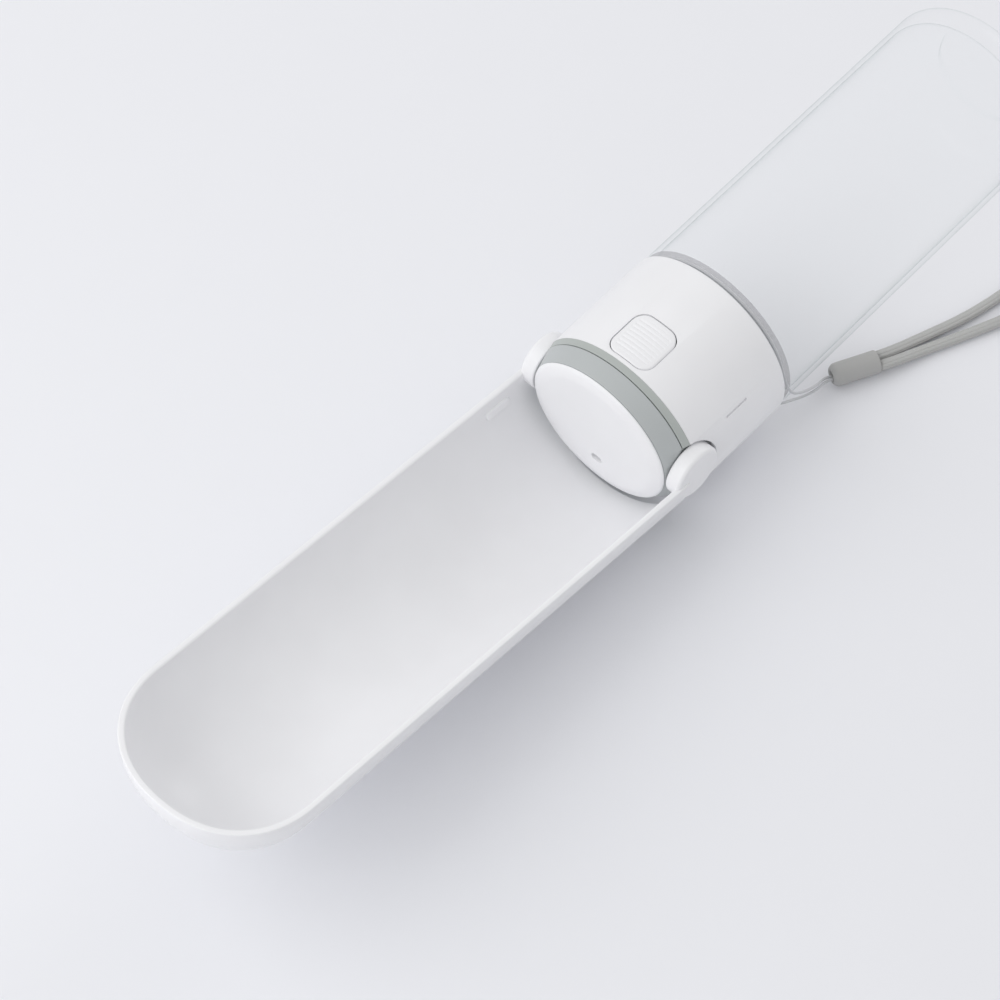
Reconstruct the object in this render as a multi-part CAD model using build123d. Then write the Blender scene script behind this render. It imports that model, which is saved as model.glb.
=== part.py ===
from build123d import *
from math import asin, cos, degrees, dist, pi, radians, sin, sqrt, tan
import os

# A dog's travel water bottle, lying down with its drinking trough open. Lengths are in
# millimetres. It is drawn with X along the bottle's axis from the front edge of the head
# to the base of the bottle, Y across and Z up, with the axis itself at height zero. The
# last lines move everything so that the underside is at zero and the middle at X zero.

# Running fits and gaps.
seat_gap = 0.1
running_gap = 0.3
pin_fit = 0.05
stem_fit = 0.08

# Bottle.
bottle_radius = 32.0
bottle_wall = 1.5
bottle_length = 138.6
bottle_corner = 10.0
shoulder_softness = 1.3
shoulder_inner_softness = 5.0
base_thickness = 4.0
base_rim = 3.0
base_recess_depth = 3.6
neck_wall = 2.2

# Head shell. The groove between it and the bottle's shoulder takes the lanyard's cord.
head_step = 0.5
head_wall = 2.4
head_length = 42.0
head_edge_softness = 0.5
core_plate = 3.0
groove_width = 3.6
head_radius = bottle_radius + head_step
head_bore = head_radius - head_wall
shoulder_x = head_length + groove_width
bottle_end = shoulder_x + bottle_length

# Sloped nose in front of the head, made of two rings and the outlet cap.
nose_length = 10.3
nose_taper = 4.0
nose_front_rise = 4.1
ring_wall = 2.2
parting_x = -2.65
parting_gap = 0.3
rear_plug_length = 2.2
cap_step = 0.1
cap_slope = 5.0
cap_bevel = 1.9
cap_dome = 0.3
cap_plug_depth = 2.0
cap_plug_fit = 0.3
nose_front_radius = head_radius - nose_taper
cap_edge_radius = nose_front_radius - cap_step
cap_face_radius = cap_edge_radius - cap_slope
cap_plug_radius = nose_front_radius - ring_wall - cap_plug_fit

# Hinge between head and trough.
hinge_x = -1.5
hinge_z = 4.0
trough_pitch = 7.9
ear_radius = 9.6
ear_thickness = 5.6
ear_proud = 1.5
ear_softness = 1.0
ear_blind = 1.6
pocket_gap = 1.0
pocket_floor_gap = 0.4
pin_radius = 3.0
pin_root_length = 8.0
pin_end_gap = 0.4
boss_reach = 6.0
boss_half_height = 7.0
backing_depth = 11.0
backing_wall = 4.0
ear_outer = head_radius + ear_proud
ear_inner = ear_outer - ear_thickness
pocket_floor = ear_inner - pocket_floor_gap
pin_root = pocket_floor - pin_root_length

# Trough, drawn from the hinge axis towards the tip with its rim at height zero. Folded
# over, it covers the bottle with some room at its sides, above it and beyond its base.
trough_side_room = 0.35
trough_head_room = 3.0
trough_wall = 2.2
trough_floor = 1.6
trough_tip_setback = 15.2
trough_tip_reach = 30.2
trough_heel = 4.5
trough_roundness = 2.2
trough_fullness = 2.2
trough_skin_fullness = 1.95
trough_levels = (0, 16, 31, 44, 56, 66, 74, 80)
catch_centre = 21.2
catch_depth = 6.0
catch_length = 12.5
catch_height = 5.5
catch_rise = 0.5
trough_half_width = bottle_radius + trough_side_room
trough_depth = bottle_radius - hinge_z + trough_head_room
trough_tip_start = bottle_end - hinge_x - trough_tip_setback

# Slits in the head shell that take the catches.
slit_start = 16.2
slit_end = 25.9
slit_angle = 67.7
slit_width = 0.9
slit_depth = 0.8

# Push button, its guide and its spring.
button_x = 10.6
button_length = 17.4
button_width = 16.8
button_corner = 4.5
button_gap = 0.35
button_depth = 0.5
button_lip = 1.2
button_lip_depth = 1.3
button_travel = 2.0
button_pad_radius = 6.5
button_pad_drop = 2.7
button_boss_radius = 2.6
button_boss_length = 5.0
guide_radius = 6.5
guide_flange_radius = 8.4
guide_flange = 2.0
guide_room = 0.4
spring_outer = 6.2
spring_inner = 3.6
button_pad_bottom = head_bore - button_pad_drop
button_boss_bottom = button_pad_bottom - button_boss_length
guide_top = button_boss_bottom - button_travel - guide_room

# Valve: a lower chamber that is open to the bottle, a seat, and an upper chamber that
# feeds the outlet.
valve_body_radius = 8.5
valve_base = 5.6
valve_lower_chamber = 9.5
valve_seat_thickness = 1.6
valve_upper_chamber = 6.9
valve_roof = 2.5
valve_bore = 6.0
valve_seat_bore = 3.3
stem_radius = 1.5
stem_tail = 3.4
stem_flange_radius = 4.2
stem_flange = 1.4
seal_radius = 5.0
seal_thickness = 1.6
small_spring_outer = 3.4
small_spring_inner = 1.9
inlet_height = 6.5
outlet_height_above_seat = 2.5
outlet_width = 4.6
outlet_height = 3.4
outlet_lip = 1.0
tube_radius = 3.0
tube_bore = 2.0
tube_socket_depth = 1.4
valve_floor = valve_base - head_bore
seat_bottom = valve_floor + valve_lower_chamber
valve_seat_top = seat_bottom + valve_seat_thickness
valve_body_top = valve_seat_top + valve_upper_chamber + valve_roof
inlet_z = valve_floor + inlet_height
outlet_z = valve_seat_top + outlet_height_above_seat

# Collar in the back of the head that takes the bottle's neck.
bulkhead_gap = 2.0
bulkhead = 3.0
collar_wall = 5.6
collar_end_gap = 0.7
collar_bore_gap = 0.4
gasket_thickness = 1.8
gasket_width = 3.6
gasket_room = 0.3
vent_height = 13.0
vent_radius = 2.0
vent_cap_radius = 3.5
vent_cap = 0.9
vent_tail = 1.2
bulkhead_x = button_x + button_length / 2 + button_lip + bulkhead_gap
bulkhead_back = bulkhead_x + bulkhead
neck_start = bulkhead_back + gasket_thickness + gasket_room
collar_end = shoulder_x - collar_end_gap
collar_radius = head_bore - seat_gap
neck_radius = collar_radius - collar_wall - collar_bore_gap

# Carrying lanyard: a thin cord round the neck, a crimped sleeve and a wrist strap.
cord_diameter = 0.9
crimp_radius = 4.0
crimp_front = (71.0, -29.1)
crimp_back = (86.6, -35.9)
strap_diameter = 3.8
strap_widest_arc = 60.0

rest_level = bottle_radius


def bar_x(radius, x0, x1, z=0.0):
    rod = Cylinder(radius, x1 - x0, align=(Align.CENTER, Align.CENTER, Align.MIN))
    return Pos(x0, 0, z) * Rot(0, 90, 0) * rod


def bar_y(radius, y0, y1, x, z):
    rod = Cylinder(radius, y1 - y0, align=(Align.CENTER, Align.CENTER, Align.MIN))
    return Pos(x, y0, z) * Rot(-90, 0, 0) * rod


def bar_z(radius, z0, z1, x=0.0):
    rod = Cylinder(radius, z1 - z0, align=(Align.CENTER, Align.CENTER, Align.MIN))
    return Pos(x, 0, z0) * rod


def block(x0, x1, y0, y1, z0, z1):
    size = Box(x1 - x0, y1 - y0, z1 - z0, align=(Align.MIN, Align.MIN, Align.MIN))
    return Pos(x0, y0, z0) * size


def turned(corners):
    """A solid turned about the X axis from corners given as x, radius and rounding."""
    outline = make_face(Polyline(*[(x, r) for x, r, _ in corners], close=True))
    for x, r, softness in corners:
        if softness > 0:
            corner = outline.vertices().sort_by_distance((x, r, 0))[0]
            outline = fillet(corner, softness)
    return revolve(outline, Axis.X, 360)


def both_sides(shape):
    return shape + mirror(shape, Plane.XZ)


def nose_section(x, inset):
    """The nose's round outline at x, made smaller by the inset."""
    share = -x / nose_length
    radius = head_radius + share * (nose_front_radius - head_radius) - inset
    centre = share * nose_front_rise
    return Plane(origin=(x, 0, centre), x_dir=(0, 1, 0), z_dir=(-1, 0, 0)) * Circle(radius)


def nose_slice(x0, x1, inset):
    return loft([nose_section(x0, inset), nose_section(x1, inset)], ruled=True)


# The pocket round each hinge ear, the hole for each hinge pin and the space under the
# button are cut from several pieces.
ear_pocket = both_sides(
    bar_y(ear_radius + pocket_gap, pocket_floor, head_radius + 5, hinge_x, hinge_z)
)
pin_hole = both_sides(
    bar_y(pin_radius + seat_gap / 4, pin_root, head_radius + 5, hinge_x, hinge_z)
)
window_length = button_length + 2 * button_gap
window_width = button_width + 2 * button_gap
button_window = Pos(button_x, 0, 0) * extrude(
    RectangleRounded(window_length, window_width, button_corner + button_gap), head_radius + 5
)
lip_length = button_length + 2 * button_lip
lip_width = button_width + 2 * button_lip
button_well = Pos(button_x, 0, guide_top - guide_flange) * extrude(
    RectangleRounded(
        lip_length + 2 * running_gap,
        lip_width + 2 * running_gap,
        button_corner + button_lip + running_gap,
    ),
    head_radius,
)
underside = block(
    -nose_length - cap_bevel - 5, head_length + 5, -head_radius, head_radius, -head_radius - 5, -rest_level
)

# Head shell: a plain tube with the button window, the ear pockets and a slit on each side.
head_shell = bar_x(head_radius, 0, head_length)
head_shell = fillet(head_shell.edges().filter_by(GeomType.CIRCLE), head_edge_softness)
head_shell -= bar_x(head_bore, -1, head_length + 1)
slit = Rot(slit_angle, 0, 0) * block(
    slit_start, slit_end, -slit_width / 2, slit_width / 2, head_radius - slit_depth, head_radius + 1
)
head_shell -= button_window
head_shell -= ear_pocket
head_shell -= both_sides(slit)
head_shell -= underside

# Core: the plate that closes the front of the head. It carries the rings, holds the hinge
# pins in two bosses and backs the ear pockets.
pocket_half = ear_radius + pocket_gap
inside_rings = nose_slice(0, -nose_length, ring_wall + seat_gap)
inside_rings &= block(-nose_length, 0, -pocket_floor, pocket_floor, -head_radius, head_radius)
front_core = bar_x(head_bore - seat_gap, 0, core_plate)
front_core += inside_rings & block(
    -rear_plug_length, 0, -head_radius, head_radius, -head_radius, head_radius
)
front_core += inside_rings & both_sides(
    block(
        hinge_x - boss_reach,
        0,
        pin_root - 1,
        pocket_floor,
        hinge_z - boss_half_height,
        hinge_z + boss_half_height,
    )
)
backing = bar_x(head_bore - seat_gap, 0, backing_depth)
backing -= bar_x(head_bore - backing_wall, 0, backing_depth + 1)
backing_half = pocket_half + 2
front_core += backing & block(
    0, backing_depth, -head_radius, head_radius, hinge_z - backing_half, hinge_z + backing_half
)
front_core -= bar_x(tube_radius + seat_gap / 2, -nose_length, core_plate + 1, outlet_z)
front_core -= bar_z(valve_body_radius + seat_gap, -head_radius, guide_top, button_x)
front_core -= ear_pocket
front_core -= pin_hole
front_core -= button_well

# The two rings of the nose. The ear pockets part the rear one into an upper and a lower arc.
rear_ring = nose_slice(0, parting_x + parting_gap / 2, 0)
rear_ring -= nose_slice(1, parting_x - 1, ring_wall)
rear_ring -= ear_pocket
rear_ring -= pin_hole
rear_ring -= underside
front_ring = nose_slice(parting_x - parting_gap / 2, -nose_length, 0)
front_ring -= nose_slice(parting_x + 1, -nose_length - 1, ring_wall)
front_ring -= ear_pocket
front_ring -= pin_hole
front_ring -= underside

# Outlet cap: a domed disc with a broad soft bevel, pressed into the front ring.
cap_back = -nose_length - seat_gap / 2
cap_face = cap_back - cap_bevel
outlet_cap = turned(
    [
        (cap_back + cap_plug_depth, 0, 0),
        (cap_back + cap_plug_depth, cap_plug_radius, 0),
        (cap_back, cap_plug_radius, 0),
        (cap_back, cap_edge_radius, 0),
        (cap_back - cap_bevel * 0.3, cap_edge_radius, 0.5),
        (cap_face, cap_face_radius, 9.0),
        (cap_face - cap_dome, 0, 0),
    ]
)
outlet_cap = Pos(0, 0, nose_front_rise) * outlet_cap
outlet_slot = Plane(origin=(cap_face - 2, 0, outlet_z), x_dir=(0, 1, 0), z_dir=(1, 0, 0))
outlet_cap -= extrude(outlet_slot * SlotOverall(outlet_width, outlet_height), cap_plug_depth + cap_bevel + 5)
outlet_cap -= bar_x(tube_radius + seat_gap / 2, cap_back + outlet_lip, 0, outlet_z)
outlet_cap -= ear_pocket

# Hinge pins: pressed into the core, turning in blind bores of the trough's ears.
pin_tip = ear_outer - ear_blind - pin_end_gap
hinge_pins = both_sides(bar_y(pin_radius, pin_root, pin_tip, hinge_x, hinge_z))


def trough_level(angle, half_width, depth, reach, fullness, start):
    """The trough's outline at one level, as if its depth were turned through the angle."""
    sink = sin(radians(angle)) / sin(radians(trough_levels[-1]))
    width = half_width * cos(radians(angle))
    length = reach * (1 - sin(radians(angle)) ** fullness) ** (1 / fullness)
    points = []
    for step in range(-6, 7):
        turn = radians(90 * abs(step) / 6)
        ahead = cos(turn) ** (2 / trough_roundness) if abs(step) < 6 else 0.0
        aside = sin(turn) ** (2 / trough_roundness)
        side = -aside if step < 0 else aside
        points.append((-trough_tip_start - length * ahead, width * side))
    tip = Spline(*points, tangents=((-1, 0), (1, 0)))
    rear = Polyline((points[-1]), (-start, width), (-start, -width), (points[0]))
    return Plane(origin=(0, 0, -depth * sink)) * make_face(tip + rear)


def trough_form(half_width, depth, reach, fullness, start):
    return loft([trough_level(a, half_width, depth, reach, fullness, start) for a in trough_levels])


# Trough: a long half-round scoop with a rounded tip, open at the back, with two ears.
outer_form = trough_form(
    trough_half_width + trough_wall,
    trough_depth + trough_floor,
    trough_tip_reach + trough_wall,
    trough_skin_fullness,
    trough_heel,
)
inner_form = trough_form(
    trough_half_width, trough_depth, trough_tip_reach, trough_fullness, trough_heel - 3
)
trough = outer_form - inner_form
ear = bar_y(ear_radius, ear_inner, ear_outer, 0, 0)
ear = fillet(ear.edges().filter_by(GeomType.CIRCLE), ear_softness)
trough += both_sides(ear)
pin_bore_end = ear_outer - ear_blind
trough -= both_sides(bar_y(pin_radius + pin_fit, ear_inner - 1, pin_bore_end, 0, 0))
catch = Plane(origin=(-catch_centre, 0, -catch_depth), x_dir=(1, 0, 0), z_dir=(0, 1, 0))
catch = extrude(catch * SlotOverall(catch_length, catch_height), trough_half_width + trough_wall / 2)
catch_room = Plane(origin=(0, 0, 0), x_dir=(0, 1, 0), z_dir=(-1, 0, 0)) * Ellipse(
    trough_half_width - catch_rise, trough_depth / sin(radians(trough_levels[-1])) - catch_rise
)
trough += both_sides(catch - extrude(catch_room, catch_centre + catch_length))
trough = Pos(hinge_x, 0, hinge_z) * Rot(0, trough_pitch, 0) * trough

# Push button: a curved cap flush with the head, a lip that keeps it in, a pad for its
# spring and a boss that meets the valve stem.
button = Pos(button_x, 0, 0) * extrude(
    RectangleRounded(button_length, button_width, button_corner), head_radius + 5
)
button &= bar_x(head_radius, 0, head_length)
button -= bar_x(head_bore - button_depth, 0, head_length)
lip_top = head_bore - running_gap / 3
lip = Pos(button_x, 0, 0) * extrude(
    RectangleRounded(lip_length, lip_width, button_corner + button_lip), head_radius
)
lip &= bar_x(lip_top, 0, head_length)
button += lip - bar_x(lip_top - button_lip_depth, 0, head_length)
pad = bar_z(button_pad_radius, button_pad_bottom, lip_top - button_lip_depth / 2, button_x)
button += pad
button += bar_z(button_boss_radius, button_boss_bottom, button_pad_bottom + 1, button_x)

# Guide: a flanged tube that stands on the valve body and carries the button's spring.
button_guide = bar_z(guide_radius, valve_body_top, guide_top, button_x)
button_guide += bar_z(guide_flange_radius, guide_top - guide_flange, guide_top, button_x)
button_guide -= bar_z(stem_radius + stem_fit, valve_body_top - 1, guide_top + 1, button_x)
button_spring = bar_z(spring_outer, guide_top, button_pad_bottom, button_x)
button_spring -= bar_z(spring_inner, guide_top - 1, button_pad_bottom + 1, button_x)

# Valve body: an upper chamber that feeds the outlet, a seat, and a lower chamber that is
# open to the bottle.
valve_body = bar_z(valve_body_radius, -head_bore, valve_body_top, button_x)
valve_body &= bar_x(head_bore - seat_gap, 0, head_length)
valve_body -= bar_z(valve_bore, valve_floor, seat_bottom, button_x)
valve_body -= bar_z(valve_seat_bore, seat_bottom - 1, valve_seat_top + 1, button_x)
valve_body -= bar_z(valve_bore, valve_seat_top, valve_body_top - valve_roof, button_x)
valve_body -= bar_z(stem_radius + stem_fit, valve_body_top - valve_roof - 1, 0, button_x)
valve_front = button_x - valve_body_radius
valve_back = button_x + valve_body_radius
valve_body -= bar_x(tube_bore, valve_front - 1, button_x, outlet_z)
valve_body -= bar_x(tube_radius + seat_gap / 2, valve_front - 1, valve_front + tube_socket_depth, outlet_z)
valve_body -= bar_x(tube_bore, button_x, valve_back + 1, inlet_z)
valve_body -= bar_x(tube_radius + seat_gap / 2, valve_back - tube_socket_depth, valve_back + 1, inlet_z)

outlet_tube = bar_x(tube_radius, cap_back + outlet_lip, valve_front + tube_socket_depth, outlet_z)
outlet_tube -= bar_x(tube_bore, cap_back, valve_front + tube_socket_depth + 1, outlet_z)

# Valve stem with its seal and return spring.
seal_top = seat_bottom - seat_gap / 2
seal_bottom = seal_top - seal_thickness
flange_bottom = seal_bottom - stem_flange
stem_top = button_boss_bottom - seat_gap / 2
valve_stem = bar_z(stem_radius, flange_bottom - stem_tail, stem_top, button_x)
valve_stem += bar_z(stem_flange_radius, flange_bottom, seal_bottom, button_x)
valve_seal = bar_z(seal_radius, seal_bottom, seal_top, button_x)
valve_seal -= bar_z(stem_radius, seal_bottom - 1, seal_top + 1, button_x)
valve_spring = bar_z(small_spring_outer, valve_floor, flange_bottom, button_x)
valve_spring -= bar_z(small_spring_inner, valve_floor - 1, flange_bottom + 1, button_x)

# Neck collar: a bulkhead with an inlet spigot and a skirt round the bottle's neck.
neck_collar = bar_x(collar_radius, bulkhead_x, collar_end)
neck_collar -= bar_x(neck_radius + collar_bore_gap, bulkhead_back, collar_end + 1)
neck_collar += bar_x(tube_radius, valve_back - tube_socket_depth, bulkhead_x + 1, inlet_z)
neck_collar -= bar_x(tube_bore, valve_back - tube_socket_depth - 1, bulkhead_back + 1, inlet_z)
neck_collar -= bar_x(vent_radius, bulkhead_x - 1, bulkhead_back + 1, vent_height)
neck_gasket = bar_x(neck_radius + collar_bore_gap / 2, bulkhead_back, bulkhead_back + gasket_thickness)
neck_gasket -= bar_x(neck_radius + collar_bore_gap / 2 - gasket_width, bulkhead_back - 1, neck_start)
vent_valve = bar_x(vent_radius - seat_gap / 4, bulkhead_x - vent_tail, bulkhead_back, vent_height)
vent_valve += bar_x(vent_cap_radius, bulkhead_back, bulkhead_back + vent_cap, vent_height)

# Bottle: a clear bottle with a short neck, a square shoulder and a recessed base.
floor_x = bottle_end - base_recess_depth - base_thickness
base_recess_radius = bottle_radius - bottle_corner - base_rim
bottle = turned(
    [
        (neck_start, 0, 0),
        (neck_start, neck_radius, 0.6),
        (shoulder_x, neck_radius, 0),
        (shoulder_x, bottle_radius, shoulder_softness),
        (bottle_end, bottle_radius, bottle_corner),
        (bottle_end, base_recess_radius, 0),
        (bottle_end - base_recess_depth, base_recess_radius - base_recess_depth / 2, 0),
        (bottle_end - base_recess_depth, 0, 0),
    ]
)
bottle -= turned(
    [
        (neck_start - 1, 0, 0),
        (neck_start - 1, neck_radius - neck_wall, 0),
        (shoulder_x + bottle_wall, neck_radius - neck_wall, 0),
        (shoulder_x + bottle_wall, bottle_radius - bottle_wall, shoulder_inner_softness),
        (floor_x, bottle_radius - bottle_wall, bottle_corner - bottle_wall),
        (floor_x, 0, 0),
    ]
)

# Lanyard. The cord runs from the crimped sleeve over the shoulder into the groove between
# the head and the bottle, once round the neck, and back to the sleeve.
crimp_length = dist(crimp_front, crimp_back)
along = tuple((b - a) / crimp_length for a, b in zip(crimp_front, crimp_back))
beside = (-along[1], along[0])
crimp_z = crimp_radius - rest_level
table_strap_z = strap_diameter / 2 - rest_level


def by_crimp(end, forward, aside, z=crimp_z):
    x = end[0] + forward * along[0] + aside * beside[0]
    y = end[1] + forward * along[1] + aside * beside[1]
    return (x, y, z)


def tube(points, diameter, widest):
    """A round tube along straight runs that are joined by tangent arcs."""
    radii = []
    for before, here, after in zip(points, points[1:], points[2:]):
        a = Vector(*here) - Vector(*before)
        b = Vector(*after) - Vector(*here)
        half_turn = radians(a.get_angle(b)) / 2
        radii.append(min(widest, 0.45 * min(a.length, b.length) / tan(half_turn)))
    print("arc radii", [round(r, 1) for r in radii])
    route = FilletPolyline(*points, radius=radii)
    start = Plane(origin=route @ 0, z_dir=route % 0)
    solid = sweep(start * Circle(diameter / 2), path=route)
    print("length", round(route.length, 1), "volume", round(solid.volume, 1))
    print("section times length", round(route.length * pi * diameter**2 / 4, 1))
    return solid


groove_x = (head_length + shoulder_x) / 2
groove_radius = collar_radius + cord_diameter / 2 + seat_gap
polygon_radius = groove_radius / cos(radians(15))


def beside_bottle(past_shoulder, turn, gap):
    """A point beyond the shoulder, at a turn from the top and a gap from the bottle."""
    y = -(bottle_radius + gap) * sin(radians(turn))
    z = (bottle_radius + gap) * cos(radians(turn))
    return (shoulder_x + past_shoulder, y, z)


round_neck = []
for turn in range(90, -211, -30):
    y = -polygon_radius * sin(radians(turn))
    z = polygon_radius * cos(radians(turn))
    round_neck.append((groove_x, y, z))
cord_route = [
    by_crimp(crimp_front, 0, 0.9),
    by_crimp(crimp_front, -2.4, 0.9),
    beside_bottle(19.3, 132.6, 7.3),
    beside_bottle(11.9, 122.9, 5.2),
    beside_bottle(5.9, 112.3, 2.8),
    beside_bottle(1.0, 103.1, 1.2),
    *round_neck,
    beside_bottle(-0.4, 136.4, 0.3),
    beside_bottle(0.7, 123.8, 1.2),
    beside_bottle(5.4, 126.0, 4.6),
    beside_bottle(11.4, 128.9, 7.8),
    beside_bottle(18.4, 132.4, 8.6),
    by_crimp(crimp_front, -2.4, -0.9),
    by_crimp(crimp_front, 0, -0.9),
]
neck_cord = tube(cord_route, cord_diameter, groove_radius)

crimp_plane = Plane(
    origin=(crimp_front[0], crimp_front[1], crimp_z), x_dir=(0, 0, 1), z_dir=(along[0], along[1], 0)
)
lanyard_crimp = extrude(crimp_plane * Circle(crimp_radius), crimp_length)
lanyard_crimp = fillet(lanyard_crimp.edges().filter_by(GeomType.CIRCLE), 0.5)

strap_aside = strap_diameter / 2 + seat_gap / 2
strap_route = [
    by_crimp(crimp_back, 0, strap_aside),
    by_crimp(crimp_back, 5.5, strap_aside),
    (103.5, -40.9, table_strap_z),
    (121.2, -47.4, table_strap_z),
    (142.0, -51.4, table_strap_z),
    (166.0, -52.8, table_strap_z),
    (185.0, -57.5, table_strap_z),
    (193.0, -69.0, table_strap_z),
    (188.0, -81.0, table_strap_z),
    (173.0, -84.0, table_strap_z),
    (156.0, -73.0, table_strap_z),
    (138.0, -61.0, table_strap_z),
    (118.0, -52.9, table_strap_z),
    (101.0, -44.9, table_strap_z),
    by_crimp(crimp_back, 5.5, -strap_aside),
    by_crimp(crimp_back, 0, -strap_aside),
]
lanyard_strap = tube(strap_route, strap_diameter, strap_widest_arc)

nodes = {
    "head_shell": head_shell,
    "front_core": front_core,
    "rear_ring": rear_ring,
    "front_ring": front_ring,
    "outlet_cap": outlet_cap,
    "outlet_tube": outlet_tube,
    "hinge_pins": hinge_pins,
    "trough": trough,
    "button": button,
    "button_guide": button_guide,
    "button_spring": button_spring,
    "valve_body": valve_body,
    "valve_stem": valve_stem,
    "valve_seal": valve_seal,
    "valve_spring": valve_spring,
    "neck_collar": neck_collar,
    "neck_gasket": neck_gasket,
    "vent_valve": vent_valve,
    "bottle": bottle,
    "neck_cord": neck_cord,
    "lanyard_crimp": lanyard_crimp,
    "lanyard_strap": lanyard_strap,
}
middle = (trough.bounding_box().min.X + bottle.bounding_box().max.X) / 2
print("shift of the origin", round(-middle, 4), rest_level)
os.makedirs("parts", exist_ok=True)
for name, shape in nodes.items():
    moved = Pos(-middle, 0, rest_level) * shape
    moved.label = name
    export_step(moved, f"parts/{name}.step")
    box = moved.bounding_box()
    print(name, [round(v, 2) for v in (*box.min, *box.max)], round(moved.volume), len(moved.solids()))
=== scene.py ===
"""A dog's travel water bottle lying open, in soft studio light."""

from math import asin, atan2, cos, degrees, hypot, pi, radians, sin, sqrt

import bmesh
import bpy
from mathutils import Matrix, Vector


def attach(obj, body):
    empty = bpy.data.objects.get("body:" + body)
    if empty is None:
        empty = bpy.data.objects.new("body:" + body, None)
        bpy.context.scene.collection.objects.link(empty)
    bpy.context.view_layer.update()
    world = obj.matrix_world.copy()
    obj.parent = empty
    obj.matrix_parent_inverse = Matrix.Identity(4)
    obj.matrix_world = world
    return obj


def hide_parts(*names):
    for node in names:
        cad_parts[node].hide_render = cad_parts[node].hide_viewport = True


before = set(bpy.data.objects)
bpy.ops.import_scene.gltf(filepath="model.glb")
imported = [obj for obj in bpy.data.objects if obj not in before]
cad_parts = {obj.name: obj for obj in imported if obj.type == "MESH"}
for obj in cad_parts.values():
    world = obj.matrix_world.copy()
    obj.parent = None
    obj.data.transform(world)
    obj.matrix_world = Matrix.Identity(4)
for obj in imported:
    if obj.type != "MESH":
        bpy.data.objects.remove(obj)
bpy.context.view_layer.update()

# Lengths are in millimetres, drawn from the head's front edge along the bottle's axis, and
# moved by this shift to the part's own origin.
SHIFT_X = 9.2787
SHIFT_Z = 32.0

HEAD_R = 32.5
HEAD_BORE = 30.1
HEAD_LENGTH = 42.3
BOTTLE_R = 32.0
SHOULDER_X = 45.6
# Where the grey painted shade on the bottle ends; it stands for the shadowed groove behind the head.
GROOVE_SHADE_END_X = SHOULDER_X + 0.3
BOTTLE_END = 184.2
HINGE_X = -1.5
HINGE_Z = 4.0
PITCH = radians(7.9)
EAR_R = 9.6
POCKET_R = 10.6
POCKET_FLOOR = 28.0
NOSE_LENGTH = 10.3
NOSE_FRONT_R = 27.6
NOSE_RISE = 5.0
TABLE_Z = -32.0
# Farther out than any part of the head, for tools that cut through it.
BEYOND = 40


def at(x, y, z):
    return ((x + SHIFT_X) / 1000, y / 1000, (z + SHIFT_Z) / 1000)


def at_trough(u, y, w):
    """A point drawn from the hinge towards the trough's tip, with the rim at height zero."""
    return at(
        HINGE_X - u * cos(PITCH) + w * sin(PITCH),
        y,
        HINGE_Z + u * sin(PITCH) + w * cos(PITCH),
    )


# Camera, fitted to the picture: half its side and the focal length in pixels, its place in
# millimetres, and the directions of its right, down and forward.
HALF_PICTURE = 500
FOCAL_LENGTH = 3358
CAMERA_PLACE = (-420.98, -388.66, 908.84)
camera_data = bpy.data.cameras.new("camera")
camera_data.angle = 2 * atan2(HALF_PICTURE, FOCAL_LENGTH)
camera_data.clip_end = 10
camera = bpy.data.objects.new("camera", camera_data)
right = Vector((0.68137463, -0.73086007, -0.03965077))
down = Vector((-0.64183736, -0.57058471, -0.51232596))
forward = Vector((0.35181446, 0.37453526, -0.85787524))
turn = Matrix((right, -down, -forward)).transposed()
camera.matrix_world = Matrix.Translation(at(*CAMERA_PLACE)) @ turn.to_4x4()
bpy.context.scene.collection.objects.link(camera)
bpy.context.scene.camera = camera

# Route of the thin cord and of the strap.
CRIMP_FRONT = (71.0, -29.1)
CRIMP_BACK = (85.8, -36.8)
CRIMP_R = 4.0
CRIMP_Z = CRIMP_R + TABLE_Z
CORD_D = 0.9
CORD_ROOM = 0.1
GROOVE_R = 30.0
NECK_STEP = 30
STRAP_D = 3.8
STRAP_Z = TABLE_Z + STRAP_D / 2
STRAP_END_GAP = 1.95
STRAP_LEAD = 5.5
crimp_length = hypot(CRIMP_BACK[0] - CRIMP_FRONT[0], CRIMP_BACK[1] - CRIMP_FRONT[1])
along = (
    (CRIMP_BACK[0] - CRIMP_FRONT[0]) / crimp_length,
    (CRIMP_BACK[1] - CRIMP_FRONT[1]) / crimp_length,
)


def by_crimp(end, ahead, aside):
    """A point at the sleeve's height, ahead of one of its ends and to the side of its axis."""
    return (
        end[0] + ahead * along[0] - aside * along[1],
        end[1] + ahead * along[1] + aside * along[0],
        CRIMP_Z,
    )


groove_x = (HEAD_LENGTH + SHOULDER_X) / 2
polygon_r = (GROOVE_R + CORD_D / 2 + CORD_ROOM) / cos(radians(NECK_STEP / 2))
round_neck = [
    (groove_x, -polygon_r * sin(radians(a)), polygon_r * cos(radians(a)))
    for a in range(90, -211, -NECK_STEP)
]


def beside_bottle(past_shoulder, angle, gap):
    """A point beyond the shoulder, at an angle from the top and a gap from the bottle."""
    r = BOTTLE_R + gap
    return (SHOULDER_X + past_shoulder, -r * sin(radians(angle)), r * cos(radians(angle)))


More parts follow.
